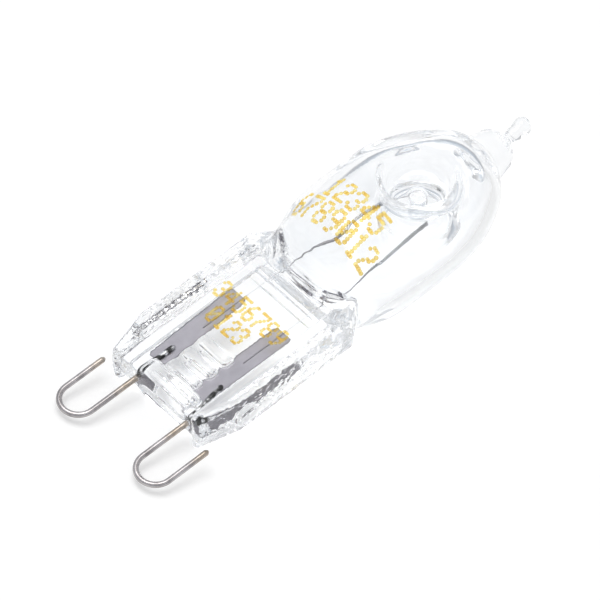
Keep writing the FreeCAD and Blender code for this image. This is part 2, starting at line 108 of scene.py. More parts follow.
# Pressed seal
SEAL_HALF_WIDTH = 6.0
WEB_HALF = 1.15
WEB_START = 0.25
WEB_END = 14.8
WEB_OVERLAP = 0.6
WEB_ROUND = 0.25
WEB_FILLET = 0.5
RAIL_HALF = 2.05
RAIL_WIDTH = 1.8
RAIL_ROUND = 0.45
RAIL_END = 15.6
RAIL_CORNER_RUN = 1.6
RAIL_CORNER = 1.3
RAIL_WAVE = 0.03
RAIL_DRAFT = 0.12
RAIL_FILLET = 0.35
NECK_HALF_WIDTH = 4.7
NOSE_TAPER = 3.9
NOSE_INSET = 0.9
NOSE_TAPER_RUN = 0.8
NOSE_TAPER_STEP = 0.16
SHOULDER_STEEPNESS = 1.6
SHOULDER_ROUND_FROM = 18.5
SHOULDER_OVERLAP = 1
CAVITY_FLOOR = 16.2
CAVITY_FLOOR_HALF_WIDTH = 3.0
CAVITY_FLOOR_RADIUS = 0.4
CAVITY_FLOOR_BLEND = 1.5
CAVITY_THICKENING = 0.7
CAVITY_WAVE = 0.03
HOLLOW_ROUND_FROM = 20.5
HOLLOW_SQUARENESS = 1.5

# Boss between the pins
BOSS_SHIFT = 0.55
PILLOW_END = 2.0
PILLOW_WIDTH = 5.4
PILLOW_HALF = 1.75
PILLOW_ROUND = 0.5
PILLOW_FILLET = 0.3
RIB_START = 2.1
RIB_LENGTH = 1.15
RIB_PITCH = 1.65
RIB_COUNT = 3
RIB_WIDTH = 3.3
RIB_HALF = 1.6
RIB_ROUND = 0.42
RIB_FILLET = 0.15

# Studs
STUD_AT = 4.2
STUD_PITCH = 6.7
STUD_COUNT = 2
STUD_RADIUS = 1.1
STUD_HEIGHT = 0.3
STUD_ROUND = 0.25
STUD_FILLET = 0.12

# Wires, foils and filament
PIN_PITCH = 9.0
PIN_SHIFT = 0.55
PIN_RADIUS = 0.25
PIN_BEND = 1.55
PIN_REACH = 5.9
PIN_FREE_END = 0.3
PIN_WELDS = {"left": 4.3, "right": 4.5}
PIN_LEANS = {"left": 0.0, "right": 0.55}
PIN_LEAN_START = 0.6
PIN_FLAT = 0.1
PIN_END_EASE = 0.12
WIRE_STEP = 0.2
BEND_STEP = 0.07
# Lower than anything, where a wire is not pressed flat
NO_FLOOR = -9
FOIL_THICKNESS = 0.04
FOIL_WIDTH = 1.85
FOIL_START = 2.35
FOIL_END = 11.5
FOIL_STEP = 0.1
FOIL_COLUMNS = 13
FOIL_JAG = 0.03
FOIL_CORNER = 0.82
FOIL_CORNER_SLOPE = 0.6
FOIL_NEAR = {"left": 2.4, "right": 2.38}
FOIL_FAR = {"left": 2.75, "right": 2.5}
LEAD_RADIUS = 0.09
LEAD_SEAL_RADIUS = 0.045
LEAD_FLAT = 0.02
LEAD_START = 7.2
LEAD_CRANK = 15.0
LEAD_SEAL = {"left": 2.25, "right": 2.45}
FILAMENT_START = 21.6
FILAMENT_RADIUS = 0.17
FILAMENT_WIRE = 0.04
FILAMENT_TURN = 0.14
FILAMENT_STEPS_PER_TURN = 10
FILAMENT_HALF_GAP = 2.2
COIL_START_SHARE = 0.7
LEG_STEPS = 100
BARE_STEPS = 40
COIL_ENDS = {"left": (26.4, 1.85), "right": (27.4, -1.95)}
POST_LOOP_RADIUS = 0.75
WELD_LEVEL = PIN_FLAT - PIN_RADIUS
LEAD_LEVEL = LEAD_SEAL_RADIUS - LEAD_FLAT + WELD_LEVEL
SIDES = {"left": 1, "right": -1}

# Cell of the grid that the glass is worked out on and the room round it, then the same for the
# outlines, and the length of a step along them
CELL = 0.155
MARGIN = 0.6
OUTLINE_CELL = 0.04
OUTLINE_MARGIN = 2.5
OUTLINE_STEP = 0.12

# Stretches of the frame in millimetres (start, end) over which a look changes
RAIL_FACES = (5.2, 5.6)
PRESSED_GLASS = (-0.5, -2.5)
ROUGH_ACROSS = (-4.0, 4.0)
PIN_HEATED = (-19.2, -18.0)
# Where the pins' painted shade and glints in the glass begin
PIN_PAINTED_MOTTLE = (-16.7, -16.3)
# Middle and reach of the painted bright reflection on the leads
LEAD_PAINTED_GLINT_MIDDLE = -3.3
LEAD_PAINTED_GLINT = (1.7, 2.3)
SHADE_ACROSS = (-1.5, -4.5)
SHADE_ALONG = (1.0, 5.0)


def lamp_frame():
    """The matrix from the lamp's own millimetres to the frame's metres."""
    mount = frame["record"]["mounts"][0]
    along = -Vector(mount["axis"])
    across = Vector((0, 1, 0))
    up = along.cross(across)
    turn = Matrix((along, across, up)).transposed().to_4x4()
    start = Vector(mount["pos_m"]) + across * PIN_SHIFT * MM
    return Matrix.Translation(start) @ turn @ Matrix.Scale(MM, 4)


LAMP = lamp_frame()
MIDDLE_ACROSS = LAMP.translation.y


def placed(points):
    """Points of the lamp, as an array in the frame's metres."""
    matrix = np.array(LAMP)
    return np.asarray(points, dtype=float) @ matrix[:3, :3].T + matrix[:3, 3]


def new_piece(name, points, faces, material, stands_for=()):
    """A smooth mesh piece of the lamp from points in its own millimetres."""
    mesh = bpy.data.meshes.new(name)
    mesh.from_pydata(placed(points).tolist(), [], faces)
    mesh.shade_smooth()
    piece = bpy.data.objects.new(name, mesh)
    bpy.context.collection.objects.link(piece)
    mesh.materials.append(material)
    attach(piece, "root")
    if stands_for:
        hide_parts(*stands_for)
    return piece


# Distance fields: negative inside, positive outside, in millimetres

def joined(first, second, blend):
    """Two forms in one, with a soft fillet of about that size where they meet."""
    share = np.clip(0.5 + 0.5 * (second - first) / blend, 0, 1)
    return second + (first - second) * share - blend * share * (1 - share)


def less(form, tool, blend):
    """A form with another taken out of it, with a soft edge."""
    return -joined(-form, tool, blend)


def arc(centre, radius, start, end):
    """Points of an arc, its angles in degrees."""
    count = max(2, int(abs(end - start) * math.pi / 180 * radius / OUTLINE_STEP))
    angles = np.radians(np.linspace(start, end, count + 1))
    return [(centre[0] + radius * math.cos(a), centre[1] + radius * math.sin(a)) for a in angles]


def outline_field(outline):
    """A function that gives the distance to a closed outline, worked out once on a fine grid."""
    points = np.array(outline)
    low = points.min(axis=0) - OUTLINE_MARGIN
    high = points.max(axis=0) + OUTLINE_MARGIN
    count = np.ceil((high - low) / OUTLINE_CELL).astype(int) + 1
    axes = [low[axis] + OUTLINE_CELL * np.arange(count[axis]) for axis in (0, 1)]
    across, up = np.meshgrid(*axes, indexing="ij")
    best = np.full(across.shape, np.inf)
    inside = np.zeros(across.shape, dtype=bool)
    for start, end in zip(points, np.roll(points, -1, axis=0)):
        run = end - start
        length = float(run @ run)
        if length < 1e-12:
            continue
        share = np.clip(((across - start[0]) * run[0] + (up - start[1]) * run[1]) / length, 0, 1)
        gap = (across - start[0] - share * run[0]) ** 2 + (up - start[1] - share * run[1]) ** 2
        np.minimum(best, gap, out=best)
        if run[1]:
            crosses = (start[1] > up) != (end[1] > up)
            inside ^= crosses & (across < run[0] * (up - start[1]) / run[1] + start[0])
    table = np.where(inside, -1, 1) * np.sqrt(best)

    def field(first, second):
        place = [np.clip((value - low[axis]) / OUTLINE_CELL, 0, count[axis] - 1.001)
                 for axis, value in enumerate((first, second))]
        whole = [value.astype(int) for value in place]
        part = [value - base for value, base in zip(place, whole)]
        i, j = whole
        u, v = part
        return (table[i, j] * (1 - u) * (1 - v) + table[i + 1, j] * u * (1 - v)
                + table[i, j + 1] * (1 - u) * v + table[i + 1, j + 1] * u * v)
    return field


def shell_outline(inset):
    """The round glass from the neck to the nose, set in by a depth, as points (along, radius)."""
    neck = (BARREL_START, BULB_RADIUS - NECK_BEND)
    flank = (BARREL_END, BULB_RADIUS - FLANK_BEND)
    turn = math.degrees(math.atan2(FLANK_BEND - BULB_RADIUS, NOSE_CENTRE - BARREL_END))
    start = math.degrees(math.acos((NECK_START - BARREL_START) / (NECK_BEND - inset)))
    points = arc(neck, NECK_BEND - inset, start, 90)
    points += arc(flank, FLANK_BEND - inset, 90, turn)
    return points, turn


def bulb_outline():
    """The bulb with its melted stub."""
    points, turn = shell_outline(0)
    end = math.degrees(math.asin(STUB_FOOT_RADIUS / NOSE_BEND))
    points += arc((NOSE_CENTRE, 0), NOSE_BEND, turn, end)
    points += [(STUB_SHOULDER_AT - STUB_SHOULDER_RUN, STUB_SHOULDER_RADIUS + STUB_EASE),
               (STUB_SHOULDER_AT, STUB_SHOULDER_RADIUS - STUB_EASE),
               (STUB_WAIST_AT - STUB_WAIST_RUN, STUB_WAIST_RADIUS + STUB_EASE),
               (STUB_WAIST_AT, STUB_WAIST_RADIUS),
               (STUB_WAIST_AT + STUB_WAIST_LENGTH, STUB_WAIST_RADIUS + STUB_WAIST_GROWTH)]
    points += arc((STUB_END - STUB_NIB_RADIUS, 0), STUB_NIB_RADIUS, STUB_NIB_START, 0)
    return points + [(x, -r) for x, r in reversed(points)]


def hollow_outline():
    """The round part of the sealed hollow."""
    points, turn = shell_outline(BULB_WALL)
    points += arc((NOSE_CENTRE, 0), NOSE_BEND - BULB_WALL, turn, 0)
    return points + [(x, -r) for x, r in reversed(points)]


def dimple_outline():
    """A dimple's section as points (radius, height): a floor, a steep wall and a wide mouth."""
    points = arc((DIMPLE_FLOOR_RADIUS, DIMPLE_FLOOR + DIMPLE_CORNER), DIMPLE_CORNER, -90,
                 -math.degrees(DIMPLE_FLARE))
    radius, height = points[-1]
    radius += (DIMPLE_THROAT - height) * math.tan(DIMPLE_FLARE)
    centre = (radius + DIMPLE_THROAT_BEND * math.cos(DIMPLE_FLARE),
              DIMPLE_THROAT - DIMPLE_THROAT_BEND * math.sin(DIMPLE_FLARE))
    points += arc(centre, DIMPLE_THROAT_BEND, 180 - math.degrees(DIMPLE_FLARE),
                  180 - math.degrees(DIMPLE_MOUTH_FLARE))
    radius, height = points[-1]
    further = 2 * BULB_RADIUS
    points.append((radius + further * math.sin(DIMPLE_MOUTH_FLARE),
                   height + further * math.cos(DIMPLE_MOUTH_FLARE)))
    return points + [(-r, z) for r, z in reversed(points)]


def rail_outline():
    """One rail seen from above, with a slim rounded nose."""
    inner = SEAL_HALF_WIDTH - RAIL_WIDTH
    nose = SEAL_HALF_WIDTH - NOSE_INSET
    middle = (inner + nose) / 2
    half = (nose - inner) / 2
    points = arc((half, middle), half, 270, 90)
    points += [(NOSE_TAPER - NOSE_TAPER_RUN, SEAL_HALF_WIDTH - NOSE_TAPER_STEP),
               (NOSE_TAPER, SEAL_HALF_WIDTH),
               (RAIL_END, SEAL_HALF_WIDTH),
               (RAIL_END + RAIL_CORNER_RUN, SEAL_HALF_WIDTH - RAIL_CORNER),
               (RAIL_END + RAIL_CORNER_RUN, inner)]
    return points


BULB = outline_field(bulb_outline())
HOLLOW = outline_field(hollow_outline())
DIMPLE = outline_field(dimple_outline())
RAIL = outline_field(rail_outline())


def box(offsets, halves, roundness):
    """A box about the origin of the offsets, with rounded edges."""
    reach = [np.abs(offset) - half + roundness for offset, half in zip(offsets, halves)]
    outer = np.sqrt(sum(np.maximum(value, 0) ** 2 for value in reach))
    return outer + np.minimum(np.maximum.reduce(reach), 0) - roundness


def thick(plan, height, half, roundness):
    """A flat outline given thickness, with rounded edges."""
    first = plan + roundness
    second = np.abs(height) - half + roundness
    outer = np.sqrt(np.maximum(first, 0) ** 2 + np.maximum(second, 0) ** 2)
    return outer + np.minimum(np.maximum(first, second), 0) - roundness


def neck_run(x):
    """How far a station lies down the neck from the barrel, easing in so that no kink shows."""
    run = np.maximum(BARREL_START - x, 0)
    return run ** 2 / (run + NECK_EASE)


def swell(x, start, first, last, steep):
    """A size that grows from its first value at a station to its last where the barrel starts."""
    share = np.clip(neck_run(x) / neck_run(start), 0, 1)
    return first + (last - first) * (1 - share ** 2) ** (1 / steep)


def towards_nose(x, y):
    """Places of the straight outline that a shorter nose, a little to one side, takes over."""
    share = np.clip((x - NOSE_SHIFT_FROM) / (NOSE_SHIFT_TO - NOSE_SHIFT_FROM), 0, 1)
    share = share ** 2 * (3 - 2 * share)
    return x + NOSE_SHORT * share, y + NOSE_LEAN * share


def oval(y, z, half_width, half_height, squareness):
    """A section across the lamp between an oblong and a circle, whose sizes vary along it."""
    reach = (np.abs(y / half_width) ** squareness + np.abs(z / half_height) ** squareness + 1e-9)
    return (reach ** (1 / squareness) - 1) * half_height


def ripple(x, y, z):
    """Uneven waves such as a rough pressing jaw leaves, between about -1 and 1."""
    first = np.sin(6.1 * x + 2.3 * z + 1.7 * np.sin(2.9 * x + 1.3 * y))
    second = np.sin(9.7 * x - 6.3 * z + 0.8 + 1.9 * np.sin(4.3 * z + 1.1 * x))
    third = np.sin(3.1 * x + 11.3 * z + 2.1 * np.sin(5.3 * x))
    return (first + 0.8 * second + 0.6 * third) / 2.0


def outer_form(x, y, z):
    """The glass as if it were solid."""
    along, across = towards_nose(x, y)
    lean = np.clip((along - STUB_SHOULDER_AT) / (STUB_END - STUB_SHOULDER_AT), 0, 1)
    radius = np.sqrt((across - STUB_LEAN_ACROSS * lean) ** 2 + (z - STUB_LEAN_UP * lean) ** 2)
    run = np.minimum(neck_run(x), NECK_BEND - NECK_ROOT_ROOM)
    waist = BULB_RADIUS - NECK_BEND + np.sqrt(NECK_BEND ** 2 - run ** 2)
    half_width = -joined(-waist, -NECK_HALF_WIDTH, NECK_BLEND)
    half_height = swell(x, WEB_END, WEB_HALF, BULB_RADIUS, SHOULDER_STEEPNESS)
    flat = np.clip((SHOULDER_ROUND_FROM - x) / (SHOULDER_ROUND_FROM - WEB_END), 0, 1)
    neck = np.maximum(oval(y, z, half_width, half_height, 2 + 2 * flat ** 2),
                      WEB_END - SHOULDER_OVERLAP - x)
    melt = STUB_WAVE * np.clip(along - STUB_SHOULDER_AT + STUB_WAVE_RUN, 0, 1)
    melt = melt * ripple(*(place / STUB_WAVE_STRETCH for place in (x, y, z)))
    glass = np.where(x < BARREL_START, neck, BULB(along, radius) + melt)

    web = box((x - (WEB_START + WEB_END + WEB_OVERLAP) / 2, y, z),
              ((WEB_END + WEB_OVERLAP - WEB_START) / 2, SEAL_HALF_WIDTH - RAIL_WIDTH / 2, WEB_HALF),
              WEB_ROUND)
    glass = joined(glass, web, WEB_FILLET)
    draft = RAIL_DRAFT * (np.abs(z) - RAIL_HALF / 2)
    rail = thick(RAIL(x, np.abs(y) + draft) + RAIL_WAVE * ripple(x, y, z), z, RAIL_HALF, RAIL_ROUND)
    glass = joined(glass, rail, RAIL_FILLET)

    from_boss = y + BOSS_SHIFT
    pillow = box((x - (WEB_START + PILLOW_END) / 2, from_boss, z),
                 ((PILLOW_END - WEB_START) / 2, PILLOW_WIDTH / 2, PILLOW_HALF), PILLOW_ROUND)
    glass = joined(glass, pillow, PILLOW_FILLET)
    for number in range(RIB_COUNT):
        middle = RIB_START + RIB_LENGTH / 2 + number * RIB_PITCH
        rib = box((x - middle, from_boss, z), (RIB_LENGTH / 2, RIB_WIDTH / 2, RIB_HALF), RIB_ROUND)
        glass = joined(glass, rib, RIB_FILLET)
    for number in range(STUD_COUNT):
        middle = STUD_AT + number * STUD_PITCH
        plan = np.sqrt((x - middle) ** 2 + z ** 2) - STUD_RADIUS
        stud = thick(plan, np.abs(y) - SEAL_HALF_WIDTH + STUD_HEIGHT, 2 * STUD_HEIGHT, STUD_ROUND)
        glass = joined(glass, stud, STUD_FILLET)
    from_dimple = np.sqrt((x - DIMPLE_AT) ** 2 + y ** 2)
    return less(glass, DIMPLE(from_dimple, np.abs(z)), DIMPLE_LIP)


def hollow_form(x, y, z):
    """The sealed hollow, clear of the dimples' cups and of the post."""
    along, across = towards_nose(x, y)
    radius = np.sqrt(across ** 2 + z ** 2)
    inner = BULB_RADIUS - BULB_WALL
    half_width = swell(x, CAVITY_FLOOR, CAVITY_FLOOR_HALF_WIDTH, inner, SHOULDER_STEEPNESS)
    wall = BULB_WALL + CAVITY_THICKENING * neck_run(x) / neck_run(CAVITY_FLOOR)
    outer = swell(x, WEB_END, WEB_HALF, BULB_RADIUS, SHOULDER_STEEPNESS)
    half_height = np.maximum(outer - wall, CAVITY_FLOOR_RADIUS)
    share = np.clip((HOLLOW_ROUND_FROM - x) / (HOLLOW_ROUND_FROM - CAVITY_FLOOR), 0, 1)
    squareness = 2 + HOLLOW_SQUARENESS * share ** 2 * (3 - 2 * share)
    neck = -joined(-oval(y, z, half_width, half_height, squareness), x - CAVITY_FLOOR,
                   CAVITY_FLOOR_BLEND)
    neck = neck + CAVITY_WAVE * share ** 3 * ripple(x, y, z)
    room = np.where(x < BARREL_START, neck, HOLLOW(along, radius))
    from_dimple = np.sqrt((x - DIMPLE_AT) ** 2 + y ** 2)
    cup = joined(DIMPLE(from_dimple, np.abs(z)) - DIMPLE_GLASS, from_dimple - POST_RADIUS,
                 POST_FILLET)
    return less(room, cup, CUP_LIP)


def glass_form(x, y, z):
    """The glass with its hollow."""
    return np.maximum(outer_form(x, y, z), -hollow_form(x, y, z))


def settled(points, form, rounds=4):
    """Points moved exactly onto a form's surface."""
    nudge = 0.004
    least_slope = 0.2
    for _ in range(rounds):
        x, y, z = points.T
        here = form(x, y, z)
        slope = np.stack([
            form(x + nudge, y, z) - form(x - nudge, y, z),
            form(x, y + nudge, z) - form(x, y - nudge, z),
            form(x, y, z + nudge) - form(x, y, z - nudge),
        ], axis=1) / (2 * nudge)
        size = np.maximum((slope ** 2).sum(axis=1), least_slope)
        step = slope * (here / size)[:, None]
        points = points - np.clip(step, -CELL / 2, CELL / 2)
    return points


def skinned(form, low, high, cell):
    """The surface of a distance field as smooth points and faces."""
    counts = [int(math.ceil((end - start) / cell)) + 1 for start, end in zip(low, high)]
    axes = [start + cell * np.arange(count) for start, count in zip(low, counts)]
    x, y, z = np.meshgrid(*axes, indexing="ij")
    values = form(x, y, z).astype(np.float32)
    grid = openvdb.FloatGrid(float(3 * cell))
    grid.copyFromArray(np.clip(values, -3 * cell, 3 * cell))
    points, triangles, quads = grid.convertToPolygons(0.0, 0.0)
    points = points.astype(float) * cell + np.array(low)
    points = settled(points, form)
    faces = [tuple(int(corner) for corner in face) for face in [*quads, *triangles]]
    return points, faces


def outward(points, faces):
    """The faces turned so that they all look outwards."""
    volume = 0.0
    for face in faces:
        corners = points[list(face)]
        for index in range(1, len(face) - 1):
            volume += float(np.dot(corners[0], np.cross(corners[index], corners[index + 1])))
    return faces if volume > 0 else [tuple(reversed(face)) for face in faces]


# Tubes

def tube(line, radius, sides, flat_to=None):
    """Points and faces of a round wire along a line, closed at both ends.

    The radius may vary from point to point. flat_to gives, for each point, the lowest height that
    the wire may reach: below it the wire is pressed flat.
    """
    line = np.asarray(line, dtype=float)
    radii = np.broadcast_to(np.asarray(radius, dtype=float), (len(line),))
    tangents = np.gradient(line, axis=0)
    tangents /= np.linalg.norm(tangents, axis=1)[:, None]
    side = np.cross(tangents[0], (0.0, 0.0, 1.0))
    if np.linalg.norm(side) < 1e-6:
        side = np.array((0.0, 1.0, 0.0))
    rings = []
    for place, tangent, size in zip(line, tangents, radii):
        side = side - tangent * np.dot(side, tangent)
        side /= np.linalg.norm(side)
        up = np.cross(side, tangent)
        angles = np.arange(sides) * 2 * math.pi / sides
        rings.append(place + size * (np.outer(np.cos(angles), side) + np.outer(np.sin(angles), up)))
    points = np.concatenate(rings + [line[:1], line[-1:]])
    if flat_to is not None:
        for index, floor in enumerate(flat_to):
            ring = slice(index * sides, (index + 1) * sides)
            points[ring, 2] = np.maximum(points[ring, 2], floor)
    faces = []
    for index in range(len(line) - 1):
        for corner in range(sides):
            after = (corner + 1) % sides
            faces.append((index * sides + corner, index * sides + after,
                          (index + 1) * sides + after, (index + 1) * sides + corner))
    first = len(line) * sides
    last = (len(line) - 1) * sides
    for corner in range(sides):
        after = (corner + 1) % sides
        faces.append((first, after, corner))
        faces.append((first + 1, last + corner, last + after))
    return points, outward(points, faces)


def eased_ends(line, radius, run):
    """Radii for a line whose ends are blunt but not sharp."""
    steps = np.linalg.norm(np.diff(line, axis=0), axis=1)
    travel = np.concatenate([[0.0], np.cumsum(steps)])
    near = np.minimum(travel, travel[-1] - travel)
    share = np.clip(near / run, 0, 1)
    return radius * np.sqrt(1 - (1 - share) ** 2 * 0.75)


def stations(start, end, step):
    """Evenly spaced places from a start to an end, about a step apart."""
    count = max(2, int(abs(end - start) / step) + 1)
    return np.linspace(start, end, count)


# Materials

def new_material(name):
    """A material with a node tree that holds only its output."""
    material = bpy.data.materials.new(name)
    material.use_nodes = True
    tree = material.node_tree
    tree.nodes.clear()
    output = tree.nodes.new("ShaderNodeOutputMaterial")
    return material, tree, output


def node(tree, kind, links=None, **values):
    """Adds a node, sets its inputs or its own settings by name, and links other nodes' outputs."""
    made = tree.nodes.new(kind)
    for name, value in values.items():
        setattr(made, name, value)
    for socket, source in (links or {}).items():
        if isinstance(source, bpy.types.NodeSocket):
            tree.links.new(source, made.inputs[socket])
        else:
            made.inputs[socket].default_value = source
    return made


def ramp(tree, source, stops):
    """A colour ramp with stops (position, colour)."""
    made = tree.nodes.new("ShaderNodeValToRGB")
    elements = made.color_ramp.elements
    while len(elements) < len(stops):
        elements.new(0.5)
    for element, (position, colour) in zip(elements, stops):
        element.position = position
        element.color = colour if len(colour) == 4 else (*colour, 1.0)
    tree.links.new(source, made.inputs["Fac"])
    return made.outputs["Color"]


def noise(tree, place, scale, detail, roughness=0.5):
    """A noise texture's grey value."""
    return node(tree, "ShaderNodeTexNoise", {"Vector": place, "Scale": scale, "Detail": detail,
                                             "Roughness": roughness}).outputs["Fac"]


def maths(tree, operation, *inputs):
    """The result of a math node."""
    return node(tree, "ShaderNodeMath", dict(enumerate(inputs)), operation=operation).outputs[0]


def spread(tree, source, start, end, low=0.0, high=1.0):
    """A value mapped from one range to another."""
    return node(tree, "ShaderNodeMapRange", {"Value": source, "From Min": start, "From Max": end,
                                             "To Min": low, "To Max": high}).outputs[0]


def over(tree, source, stretch, low=0.0, high=1.0):
    """A value that goes from low to high over a stretch of the frame in millimetres."""
    return spread(tree, source, stretch[0] * MM, stretch[1] * MM, low, high)


def mixed(tree, factor, first, second):
    """Two colours mixed."""
    return node(tree, "ShaderNodeMix", {0: factor, 6: first, 7: second},
                data_type="RGBA").outputs[2]


def principled(tree, output, **inputs):
    """A principled shader on the material's output, its inputs named with _ for a space."""
    shader = node(tree, "ShaderNodeBsdfPrincipled",
                  {name.replace("_", " "): value for name, value in inputs.items()})
    tree.links.new(shader.outputs["BSDF"], output.inputs["Surface"])


def glass_material():
    """Clear fused quartz, slightly wavy where it was pressed."""
    material, tree, output = new_material("fused_glass")
    place = node(tree, "ShaderNodeTexCoord").outputs["Object"]
    parts = node(tree, "ShaderNodeSeparateXYZ", {0: place})
    middle = maths(tree, "SUBTRACT", parts.outputs["Y"], MIDDLE_ACROSS)
    railed = over(tree, maths(tree, "ABSOLUTE", middle), RAIL_FACES)
    pressed = over(tree, parts.outputs["X"], PRESSED_GLASS)
    uneven = over(tree, middle, ROUGH_ACROSS, 1.0, 0.12)
    rough = maths(tree, "MULTIPLY", maths(tree, "MULTIPLY", railed, pressed), uneven)
    bump = node(tree, "ShaderNodeBump", {
        "Strength": spread(tree, rough, 0.0, 1.0, 0.01, 1.0), "Distance": 0.0002,
        "Height": noise(tree, place, 1600.0, 1.5)})
    principled(tree, output, Base_Color=(0.985, 0.992, 1.0, 1.0), Roughness=0.0, IOR=1.46,
               Transmission_Weight=1.0, Normal=bump.outputs["Normal"])
    return material


def wire_material(name, colours, roughness, scale):
    """Drawn wire: a mottled metal in two tones."""
    material, tree, output = new_material(name)
    place = node(tree, "ShaderNodeTexCoord").outputs["Object"]
    colour = ramp(tree, noise(tree, place, scale, 5.0, 0.65), [(0.35, colours[0]),
                                                               (0.65, colours[1])])
    bump = node(tree, "ShaderNodeBump", {"Strength": 0.3, "Distance": 0.00002,
                                        "Height": noise(tree, place, scale * 4, 4.0)})
    principled(tree, output, Base_Color=colour, Metallic=1.0, Roughness=roughness,
               Normal=bump.outputs["Normal"])
    return material


def pin_material():
    """Bright looped pins, tinted gold by heat near their free ends, with painted shade and glints
    mottling them in the glass.
    """
    material, tree, output = new_material("pin_wire")
    place = node(tree, "ShaderNodeTexCoord").outputs["Object"]
    along = node(tree, "ShaderNodeSeparateXYZ", {0: place}).outputs["X"]
    bare = ramp(tree, noise(tree, place, 700.0, 5.0, 0.65), [(0.35, (0.29, 0.27, 0.27)),
                                                             (0.65, (0.56, 0.53, 0.53))])
    tinted = mixed(tree, over(tree, along, PIN_HEATED, 0.0, 0.35), bare, (0.60, 0.46, 0.28, 1.0))
    # In the glass the pins get near-black and bright noise: painted shade and glints for their
    # jagged look through the pressed glass
    painted_shade_and_glints = ramp(tree, noise(tree, place, 1500.0, 2.0), [(0.44, (0.03, 0.03, 0.03)),
                                                        (0.60, (0.85, 0.85, 0.86))])
    principled(tree, output, Base_Color=mixed(tree, over(tree, along, PIN_PAINTED_MOTTLE), tinted, painted_shade_and_glints),
               Metallic=1.0, Roughness=0.25)
    return material


def lead_material():
    """Lead wire: a painted bright reflection along the stretch between the foil and the hollow,
    dull on the foil and in the hollow.
    """
    material, tree, output = new_material("lead_wire")
    place = node(tree, "ShaderNodeTexCoord").outputs["Object"]
    along = node(tree, "ShaderNodeSeparateXYZ", {0: place}).outputs["X"]
    # Painted reflection: bright within a stretch of the frame about its middle, dull beyond it
    aside = maths(tree, "ABSOLUTE", maths(tree, "SUBTRACT", along, LEAD_PAINTED_GLINT_MIDDLE * MM))
    mottled = maths(tree, "MULTIPLY_ADD", noise(tree, place, 900.0, 3.0), 0.2,
                    over(tree, aside, LEAD_PAINTED_GLINT))
    colour = ramp(tree, mottled, [(0.1, (0.86, 0.86, 0.87)), (1.0, (0.30, 0.29, 0.31))])
    principled(tree, output, Base_Color=colour, Metallic=1.0, Roughness=0.4)
    return material


def ink_material():
    """Amber stamping ink, thin enough to let light through."""
    material, tree, output = new_material("amber_ink")
    place = node(tree, "ShaderNodeTexCoord").outputs["Object"]
    colour = ramp(tree, noise(tree, place, 1500.0, 2.0), [(0.35, (0.85, 0.64, 0.20)),
                                                          (0.65, (0.95, 0.83, 0.40))])
    principled(tree, output, Base_Color=colour, Roughness=0.0, IOR=1.0, Transmission_Weight=0.85)
    return material


# Pieces

def make_glass(material):
    """The whole glass as one blown and pressed piece."""
    low = (-MARGIN, -SEAL_HALF_WIDTH - STUD_HEIGHT - MARGIN, -BULB_RADIUS - MARGIN)
    high = (STUB_END + MARGIN, SEAL_HALF_WIDTH + STUD_HEIGHT + MARGIN, BULB_RADIUS + MARGIN)
    points, faces = skinned(glass_form, low, high, CELL)
    faces = outward(points, faces)
    piece = new_piece("glass", points, faces, material, ["glass_envelope"])
    piece.visible_shadow = False
    return piece


def make_pin(side, material):
    """One looped pin of bent wire, pressed flat where it is welded to its foil."""
    sign = SIDES[side]
    centre = sign * PIN_PITCH / 2 - PIN_SHIFT
    inner = centre - sign * PIN_BEND
    outer = centre + sign * PIN_BEND
    bend = PIN_BEND - PIN_REACH
    line = [(x, inner, 0.0) for x in stations(PIN_WELDS[side], bend, WIRE_STEP)[:-1]]
    for angle in stations(0, math.pi, BEND_STEP):
        line.append((bend - PIN_BEND * math.sin(angle),
                     centre - sign * PIN_BEND * math.cos(angle), 0.0))
    line += [(x, outer, 0.0) for x in stations(bend, -PIN_FREE_END, WIRE_STEP)[1:]]
    line = np.array(line)
    sunk = np.clip((line[:, 0] - PIN_LEAN_START) / (PIN_WELDS[side] - PIN_LEAN_START), 0, 1)
    line[:, 1] -= sign * PIN_LEANS[side] * sunk ** 1.3
    floor = [WELD_LEVEL if x > FOIL_START else NO_FLOOR for x, y, z in line]
    points, faces = tube(line, eased_ends(line, PIN_RADIUS, PIN_END_EASE), 20, floor)
    name = "contact_loop_" + side
    return new_piece("looped_pin_" + side, points, faces, material, [name])


def make_foil(side, material, seed):
    """One sealing foil with a ragged cut edge."""
    sign = SIDES[side]
    rough = np.random.default_rng(seed)
    lengths = stations(FOIL_START, FOIL_END, FOIL_STEP)
    widths = np.linspace(-0.5, 0.5, FOIL_COLUMNS)
    jag = rough.normal(0, FOIL_JAG, (2, len(lengths)))
    upper = []
    for index, x in enumerate(lengths):
        share = (x - FOIL_START) / (FOIL_END - FOIL_START)
        middle = sign * (FOIL_NEAR[side] + (FOIL_FAR[side] - FOIL_NEAR[side]) * share)
        from_end = min(x - FOIL_START, FOIL_END - x)
        corner = min(1.0, FOIL_CORNER + FOIL_CORNER_SLOPE * from_end)
        for place in widths:
            edge = jag[int(place > 0), index] * (2 * abs(place)) ** 6
            upper.append((x, middle + FOIL_WIDTH * corner * place + edge, WELD_LEVEL))
    upper = np.array(upper)
    lower = upper - np.array((0, 0, FOIL_THICKNESS))
    points = np.concatenate([upper, lower])
    rows = len(lengths)
    columns = len(widths)
    total = rows * columns
    faces = []
    for i in range(rows - 1):
        for j in range(columns - 1):
            a = i * columns + j
            quad = (a, a + 1, a + columns + 1, a + columns)
            faces.append(quad)
            faces.append(tuple(total + corner for corner in reversed(quad)))
    rim = list(range(columns)) + [i * columns + columns - 1 for i in range(1, rows)]
    rim += [(rows - 1) * columns + j for j in range(columns - 2, -1, -1)]
    rim += [i * columns for i in range(rows - 2, 0, -1)]
    for here, after in zip(rim, rim[1:] + rim[:1]):
        faces.append((here, total + here, total + after, after))
    return new_piece("sealing_foil_" + side, points, outward(points, faces), material,
                     ["foil_" + side])


